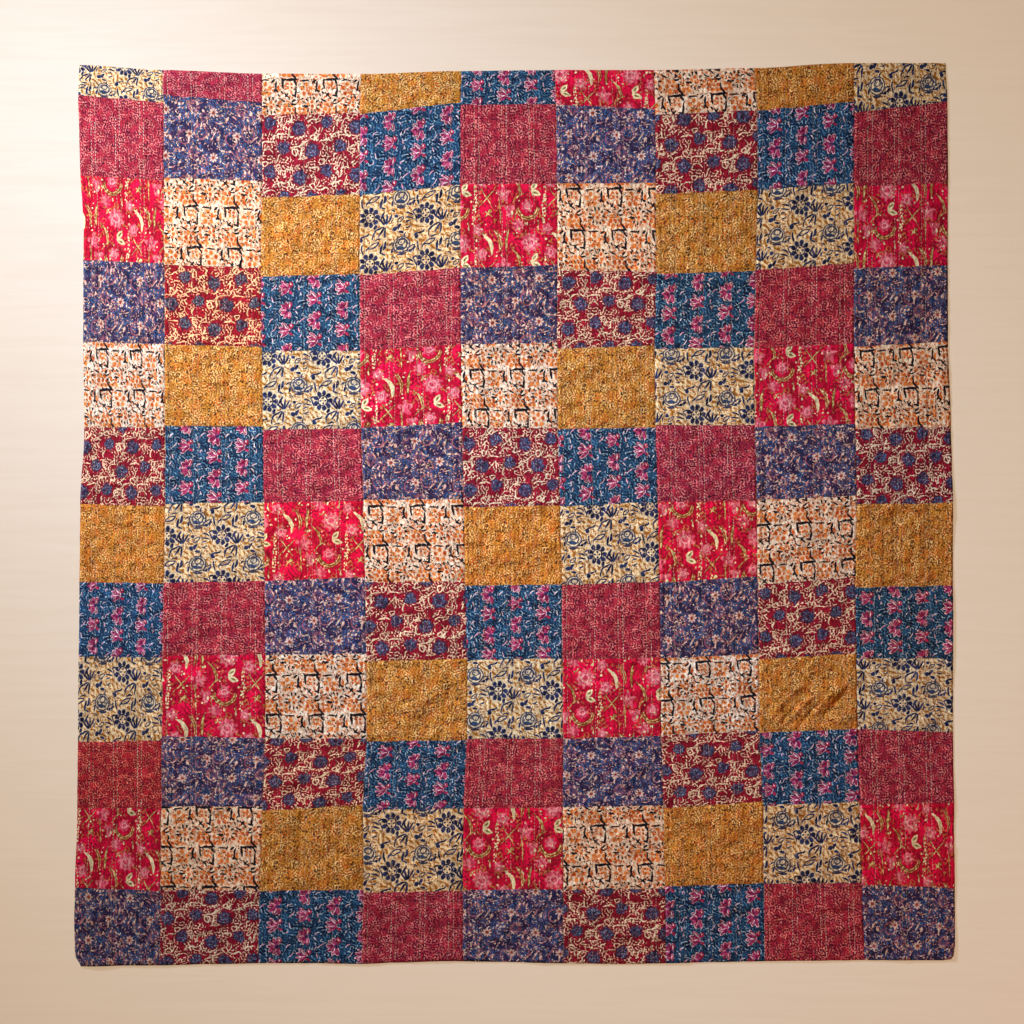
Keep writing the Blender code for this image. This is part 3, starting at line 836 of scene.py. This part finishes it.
def redCreamVine(block):
    # red ground, cream branching scrolls, and slate flowers in rows that step by half
    ground = block.shade("920E2A", "B01832", block.mottle(26, 41, 1))
    light, dark = block.worms(7.4, 44, 0.25, 0.32)
    ground = block.ink(ground, dark, "6A0A24", 2)
    softer = block.mottle(19, 40, 1).node.outputs["Color"]
    block = Block(block.tree, addNode(block.tree, "VectorMath", softer, (11, 11, 0), block.place,
                                      operation="MULTIPLY_ADD"))
    block = block.setDown((146, 116))
    spots = [(0, 0, 34), (69, 13, 31), (32, -54, 35), (-41, -46, 30)]
    flowers = block.joined([block.flower((x, y), size, 7, 0.08, 15 + x) for x, y, size in spots])
    halo = block.strokes([(x, y, size * 1.12, size * 1.12, 0, 0) for x, y, size in spots])
    vine = block.strokes([
        (-22, 25, 16, 2.6, 95, 1), (-26, 18, 24, 2.8, 5, 4), (-37, 9, 14, 3.2, 60, 0),
        (-48, 8, 10, 2.8, -70, 0),
        (-38, 0, 10, 2.5, 60, 0), (-27, -8, 24, 3.2, 80, 2), (-23, -20, 20, 2.8, 0, -4),
        (-54, -14, 34, 3.0, 12, 5),
        (-64, -20, 10, 2.5, -65, 0), (-55, -19, 10, 2.5, -65, 0), (-46, -17, 10, 2.5, -65, 0),
        (3, -23, 28, 2.8, 25, -3),
        (12, -33, 34, 3.2, 22, 4), (47, -21, 22, 2.8, 60, -3), (42, -6, 21, 2.6, 85, -4),
        (37, 22, 28, 2.9, 5, 4),
        (64, -31, 34, 3.2, 3, 3), (5, -52, 25, 3.3, 88, 2), (-8, -44, 26, 2.8, 12, 3),
        (7, -69, 24, 2.9, 12, 3),
        (60, -50, 12, 2.5, 50, 0), (52, -60, 11, 2.5, 60, 0), (72, -48, 18, 2.5, -60, 3),
        (88, -4, 14, 2.5, 60, 0),
        (20, 30, 14, 2.5, 60, 2), (-4, 27, 12, 2.5, 50, 0), (-60, 30, 20, 2.8, 20, 3),
        (-58, -68, 20, 2.8, 70, 4),
    ])
    loops = block.band(block.strokes([(36, -23, 13, 14, 0, 0), (-12, -56, 14, 13, 0, 0),
        (58, 34, 12, 12, 0, 0),
                                      (-52, 20, 11, 12, 0, 0)]), 1, 0.38)
    fine = block.within(light, block.here(20, 50, 0.55))
    vine = block.joined([vine, loops, fine])
    ground = block.ink(ground, block.clearOf(vine, halo), "F5DFBE", 2.4)
    slate = block.shade("1F2542", "464E74", block.mottle(7, 45))
    ground = block.ink(ground, block.grown(flowers, 1.14), "5A1434", 9)
    ground = block.ink(ground, flowers, slate, 9)
    ground = block.ink(ground, block.within(dark, block.within(flowers, block.here(10, 47, 0.52))),
        "6A1C40", 2)
    return block.ink(ground, block.within(light, block.within(flowers, block.here(9, 46, 0.55))),
        "8490B0", 2)


def indigoPaisley(block):
    # indigo ground with fine cream, salmon and light-blue outline flowers and drops
    ground = block.shade("20264C", "382A52", block.mottle(30, 51, 1))
    light, dark = block.worms(7.6, 52, 0.26, 0.32)
    ground = block.ink(ground, dark, "252650", 1.6)
    ground = block.ink(ground, block.within(dark, block.here(24, 56, 0.54)), "44669A", 1.8)
    ground = block.ink(ground, light, block.shade("2A2A54", "663F60", block.mottle(20, 58)), 1.8)
    block = block.setDown((122, 110))
    ground = block.ink(ground, block.joined([
        block.band(block.strokes([(47, 47, 30, 32, 0, 0), (47, 47, 16, 18, 0, 0),
            (-33, 60, 30, 34, 0, 0)]), 1, 0.22),
        block.petalRing((99, -12), 20, 8, (5, 4.5)), block.petalRing((-50, 10), 24, 9, (9, 3.4)),
        block.petalRing((72, 14), 22, 8, (10, 3.4), 20),
    ]), "9A5A6E", 1.4)
    drops = block.strokes([
        (60, 47, 32, 4.6, 88, -4), (-17, 50, 26, 3.6, 45, 0), (0, 52, 30, 4.2, 58, 0),
        (35, -15, 17, 5, 70, 2),
        (-40, 76, 3.6, 15, 8, 0), (-30, 78, 3.6, 14, -5, 0), (-22, 74, 3.6, 13, -14, 0),
        (80, 22, 4, 13, 30, 0),
        (-57, 0, 15, 4, -50, 0), (-42, -8, 12, 3.6, 40, 0), (12, 45, 8, 12, 0, 0), (26, 18, 7, 5, 20, 0),
        (34, 16, 7, 5, -10, 0), (43, 17, 9, 5, 15, 0), (-18, -14, 6, 8, 0, 0), (-26, 2, 6, 8, 0, 0),
        (-33, -14, 6, 7, 0, 0), (54, -8, 9, 4, -50, 0), (16, -26, 20, 3, 10, -2),
    ])
    marks = block.joined([drops, block.within(block.dots(11, 3.6, 54), block.here(16, 55, 0.42)),
                          block.within(light, block.here(13, 60, 0.46))])
    ground = block.ink(ground, marks, block.shade("BC7C7C", "EED2BE", block.mottle(8, 61)), 3)
    daisies = block.joined([block.petalRing((0, 0), 16, 8, (8, 4.6)), block.petalRing((61, 55),
        15, 7, (7.5, 4.4))])
    ground = block.ink(ground, daisies, "E8C4B4", 3)
    return block.ink(ground, block.strokes([(0, 0, 8, 8, 0, 0), (61, 55, 7, 7, 0, 0)]), "A04030", 3)


def madderFineScroll(block):
    # madder red all over, worked with fine coral and maroon curls and faint rosettes
    ground = block.shade("A01C34", "C02E42", block.mottle(34, 61, 1))
    light, dark = block.worms(6.8, 62, 0.34, 0.34, 0.1)
    ground = block.ink(ground, dark, block.shade("A82038", "6C1030", block.mottle(28, 69, 1)), 1.8)
    ground = block.ink(ground, light, block.shade("B83248", "EA8E8A", block.mottle(22, 64, 1)), 1.8)
    ground = block.ink(ground, block.within(dark, block.here(15, 65, 0.46)), "441030", 2)
    block = block.setDown((66, 60))
    rosettes = block.joined([block.band(block.flower((0, 0), 30, 9, 0.1), 0.85, 0.11),
                             block.petalRing((33, 30), 26, 11, (9, 3)),
                                 block.strokes([(0, 0, 9, 9, 0, 0)])])
    return block.ink(ground, block.within(rosettes, block.here(22, 66, 0.5)), "7E1A3A", 1.5)


def ochreFineScroll(block):
    # ochre all over, worked with fine yellow, rust and brown curls, dots and faint rosettes
    ground = block.shade("C27822", "D69032", block.mottle(40, 71, 1))
    light, dark = block.worms(6.4, 72, 0.34, 0.3)
    ground = block.ink(ground, light, block.shade("DA9C42", "F6D390", block.mottle(24, 74, 1)), 2)
    ground = block.ink(ground, dark, block.shade("BE7028", "93581A", block.mottle(30, 79, 1)), 2)
    ground = block.ink(ground, block.within(dark, block.here(26, 75, 0.46)), "CC561E", 1.6)
    ground = block.ink(ground, block.within(block.dots(8, 4.4, 73), block.here(17, 76, 0.47)),
        "54301A", 1.8)
    block = block.setDown((72, 66))
    rosettes = block.joined([block.petalRing((0, 0), 24, 9, (6, 4)), block.petalRing((36, 33),
        18, 8, (6, 4))])
    return block.ink(ground, block.within(rosettes, block.here(18, 78, 0.52)), "A4641F", 1)


lowShine = 0.2


def startMaterial(name, roughness):
    # a material with cotton's low shine, its tree and its shader
    material = bpy.data.materials.new(name)
    material.use_nodes = True
    shader = material.node_tree.nodes["Principled BSDF"]
    shader.inputs["Roughness"].default_value = roughness
    shader.inputs["Specular IOR Level"].default_value = lowShine
    return material, material.node_tree, shader


def cover(shader, tree, colour, height, strength, distance):
    # a material's colour and its relief
    tree.links.new(colour, shader.inputs["Base Color"])
    bump = addNode(tree, "Bump", Strength=strength, Distance=distance, Height=height)
    tree.links.new(bump, shader.inputs["Normal"])


def clothMillimetres(tree):
    # the place on the cloth in millimetres
    place = addNode(tree, "UVMap", uv_map="print")
    return addNode(tree, "VectorMath", place, (1000, 1000, 0), operation="MULTIPLY")


# troughPaintedShade is the painted shade that darkens the colour in the stitched troughs
washedCotton = dict(roughness=0.88, sheenWeight=0.04, wormSize=16, wormLines=31, troughPaintedShade=0.9,
                    bumpHeight=0.5 * mm, looseness=(1.3, 0.7), warmDye=(0.06, -0.03, -0.14))


def printedCotton(name, paint, puckerPaintedShade):
    # block-printed cotton cambric, washed soft: matt, puckered small, its print edges ragged with wear. Painted
    # into its colour: the light and shade of its small puckers, shade in the stitched troughs, and ridges a
    # little lighter, partly faded with wear and partly painted highlight
    made = washedCotton
    material, tree, shader = startMaterial(name, made["roughness"])
    place = clothMillimetres(tree)
    flat = Block(tree, place)
    for size, amount, seed in ((11, made["looseness"][0], 1), (4.5, made["looseness"][1], 2)):
        drift = flat.mottle(size, seed).node.outputs["Color"]
        place = addNode(tree, "VectorMath", drift, (2 * amount, 2 * amount, 0),
            place, operation="MULTIPLY_ADD")
    colour = paint(Block(tree, place))
    # winding light and dark lines painted into the colour as the light and shade of small puckers; the same
    # lines are the bump height below
    worm = flat.mottle(made["wormSize"], 3, 1, 0.4)
    worm = addNode(tree, "Math", worm, made["wormLines"], operation="MULTIPLY")
    worm = addNode(tree, "Math", worm, operation="SINE")
    shade = addNode(tree, "MapRange", worm, -1, 1, 1 - puckerPaintedShade, 1 + puckerPaintedShade)
    # painted shade: the colour darkens in the stitched troughs and lightens a little on the ridges, partly
    # faded with wear and partly painted highlight
    puff = addNode(tree, "Attribute", attribute_name="puff").node.outputs["Fac"]
    paintedTroughShade = addNode(tree, "MapRange", puff, 0.0, 0.8, made["troughPaintedShade"], 1.06)
    shade = addNode(tree, "Math", shade, paintedTroughShade, operation="MULTIPLY")
    worn = addNode(tree, "MapRange", flat.mottle(60, 4, 2), 0.3, 0.7, 0.9, 1.1)
    shade = addNode(tree, "Math", shade, worn, operation="MULTIPLY")
    colour = addNode(tree, "MixRGB", 1.0, colour, shade, blend_type="MULTIPLY")
    dye = addNode(tree, "Attribute", attribute_name="dye").node.outputs["Fac"]
    dye = addNode(tree, "CombineXYZ", dye, dye, dye)
    dye = addNode(tree, "VectorMath", dye, made["warmDye"], (1, 1, 1), operation="MULTIPLY_ADD")
    colour = addNode(tree, "MixRGB", 1.0, colour, dye, blend_type="MULTIPLY")
    cover(shader, tree, colour, worm, 0.8, made["bumpHeight"])
    shader.inputs["Sheen Weight"].default_value = made["sheenWeight"]
    return material


# the third number of each print sets how deep the painted light and shade of its small puckers is
printList = (
    ("A", creamIndigoFloral, 0.1), ("B", madderFineScroll, 0.14), ("C", indigoPaisley, 0.14),
    ("D", creamOrangeBracket, 0.08), ("E", ochreFineScroll, 0.12), ("F", blueTulip, 0.14),
    ("G", crimsonRose, 0.1), ("H", redCreamVine, 0.12),
)
printMaterials = {}
for letter, paint, puckerPaintedShade in printList:
    title = paint.__name__[0].upper() + paint.__name__[1:]
    printMaterials[letter] = printedCotton("cambric" + title, paint, puckerPaintedShade)


loomstate = dict(pale="D6C6A8", deep="B9A684", fleck="8A6F4A", slubLength=38, slubWidth=1.1, roughness=0.92,
                 bumpHeight=0.2 * mm)


def unbleachedMuslin(name):
    # unbleached muslin off the loom: uneven yarns both ways, a few specks of seed husk, no shine
    material, tree, shader = startMaterial(name, loomstate["roughness"])
    place = clothMillimetres(tree)
    flat = Block(tree, place)
    yarns = []
    slub = (loomstate["slubWidth"], loomstate["slubLength"])
    for wide, long in (slub, slub[::-1]):
        spot = addNode(tree, "VectorMath", place, (1 / wide, 1 / long, 1), operation="MULTIPLY")
        yarns.append(addNode(tree, "TexNoise", spot, Scale=1, Detail=1, noise_dimensions="2D"))
    weave = addNode(tree, "Math", *yarns, operation="ADD")
    weave = addNode(tree, "MapRange", weave, 0.7, 1.3, 0, 1)
    colour = addNode(tree, "MixRGB", weave, hexColour(loomstate["deep"]), hexColour(loomstate["pale"]))
    worn = addNode(tree, "MapRange", flat.mottle(90, 5, 2), 0.3, 0.7, 0.93, 1.05)
    colour = addNode(tree, "MixRGB", 1.0, colour, worn, blend_type="MULTIPLY")
    colour = flat.ink(colour, flat.within(flat.dots(17, 1.1, 6), flat.here(40, 7, 0.5)), loomstate["fleck"])
    cover(shader, tree, colour, weave, 0.7, loomstate["bumpHeight"])
    return material


spun = dict(pale="F6E4D2", deep="D2A890", plyLength=1.3, roughness=0.85, bumpHeight=0.12 * mm)


def spunCottonThread(name):
    # soft-spun two-ply cotton thread: slanting plies, faintly stained by the dyes that it runs through, with
    # painted shade in the grooves between its plies
    material, tree, shader = startMaterial(name, spun["roughness"])
    place = addNode(tree, "TexCoord").node.outputs["Object"]
    ply = addNode(tree, "VectorMath", place, (400 / spun["plyLength"], 1000 / spun["plyLength"], 0),
                  operation="DOT_PRODUCT")
    ply = addNode(tree, "Math", ply, math.tau, operation="MULTIPLY")
    ply = addNode(tree, "Math", ply, operation="SINE")
    stain = addNode(tree, "TexNoise", place, Scale=28, Detail=2)
    stain = addNode(tree, "MapRange", stain, 0.35, 0.65, 0, 1)
    colour = addNode(tree, "MixRGB", stain, hexColour(spun["deep"]), hexColour(spun["pale"]))
    # painted shade: the colour darkens in the grooves between the plies, on the same wave as the bump
    shade = addNode(tree, "MapRange", ply, -1, 1, 0.84, 1.04)
    colour = addNode(tree, "MixRGB", 1.0, colour, shade, blend_type="MULTIPLY")
    cover(shader, tree, colour, ply, 0.6, spun["bumpHeight"])
    return material


printMaterials["backing"] = unbleachedMuslin("unbleachedMuslin")
printMaterials["thread"] = spunCottonThread("spunCottonThread")

print("sewing the strips")
strips = [makeStrip(number) for number in range(9)]
print("laying the backing")
back = makeBacking()
print("running the threads")
threads = makeThreads()
for piece in strips + [back]:
    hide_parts("quilt")


# Floor, light and camera

room = dict(floorSize=6.0, floorPale="A9AFB1", floorDeep="A5AAAB", bounceColour="FFD9B2", bounce=0.47,
            lens=50, sensor=36, pictureSize=1024, metresPerPixel=2.58 * mm,
            worldGlow=0.02, worldColour=(1, 0.88, 0.74, 1),
            pictureMiddle=(-6.45 * mm, 6.45 * mm))


def sandedPly():
    # sanded pale birch ply under clear matt wax: near plain, with a faint long grain, and with the warm
    # bounce of the lit room added to it
    material, tree, shader = startMaterial("sandedBirchPly", 0.7)
    place = addNode(tree, "TexCoord").node.outputs["Object"]
    place = addNode(tree, "VectorMath", place, (3, 46, 1), operation="MULTIPLY")
    grain = addNode(tree, "TexNoise", place, Scale=1.0, Detail=4, Distortion=0.6, noise_dimensions="2D")
    grain = addNode(tree, "MapRange", grain, 0.35, 0.65, 0, 1)
    pale, deep = (hexColour(room[name]) for name in ("floorPale", "floorDeep"))
    tree.links.new(addNode(tree, "MixRGB", grain, pale, deep), shader.inputs["Base Color"])
    shader.inputs["Emission Color"].default_value = hexColour(room["bounceColour"])
    shader.inputs["Emission Strength"].default_value = room["bounce"]
    return material


def makeRoom():
    bpy.ops.object.select_all(action="DESELECT")
    bpy.ops.mesh.primitive_plane_add(size=room["floorSize"], location=(0, 0, 0))
    floor = bpy.context.object
    floor.name = "floor"
    floor.data.materials.append(sandedPly())


def aimedLight(name, place, aim, size, spread, power, colour):
    lamp = bpy.data.lights.new(name, "AREA")
    lamp.shape = "DISK"
    lamp.size = size
    lamp.spread = math.radians(spread)
    lamp.energy = power
    lamp.color = hexColour(colour)[:3]
    holder = bpy.data.objects.new(name, lamp)
    holder.visible_camera = False
    holder.location = place
    holder.rotation_euler = (Vector(aim) - Vector(place)).to_track_quat("-Z", "Y").to_euler()
    bpy.context.scene.collection.objects.link(holder)


def makeLights():
    aimedLight("key", (-2.8, 2.5, 2.0), (0, 0, 0), 0.7, 60, 31, "F2F6FF")
    aimedLight("fill", (-2.2, 2.0, 4.2), (0, 0, 0), 6.0, 180, 84, "FFDDB8")
    aimedLight("bounce", (3.2, -2.8, 1.3), (0.9, -0.9, 0), 1.6, 120, 11, "FF9448")
    world = bpy.data.worlds.new("studio")
    bpy.context.scene.world = world
    world.use_nodes = True
    background = world.node_tree.nodes["Background"]
    background.inputs["Color"].default_value = room["worldColour"]
    background.inputs["Strength"].default_value = room["worldGlow"]


def makeCamera():
    data = bpy.data.cameras.new("above")
    data.lens = room["lens"]
    data.sensor_width = room["sensor"]
    seen = room["pictureSize"] * room["metresPerPixel"]
    camera = bpy.data.objects.new("above", data)
    middle = room["pictureMiddle"]
    camera.location = (middle[0], middle[1], seen * data.lens / room["sensor"])
    bpy.context.scene.collection.objects.link(camera)
    bpy.context.scene.camera = camera


makeRoom()
makeLights()
makeCamera()
bpy.context.scene.view_settings.view_transform = "Standard"

print("quilt laid")
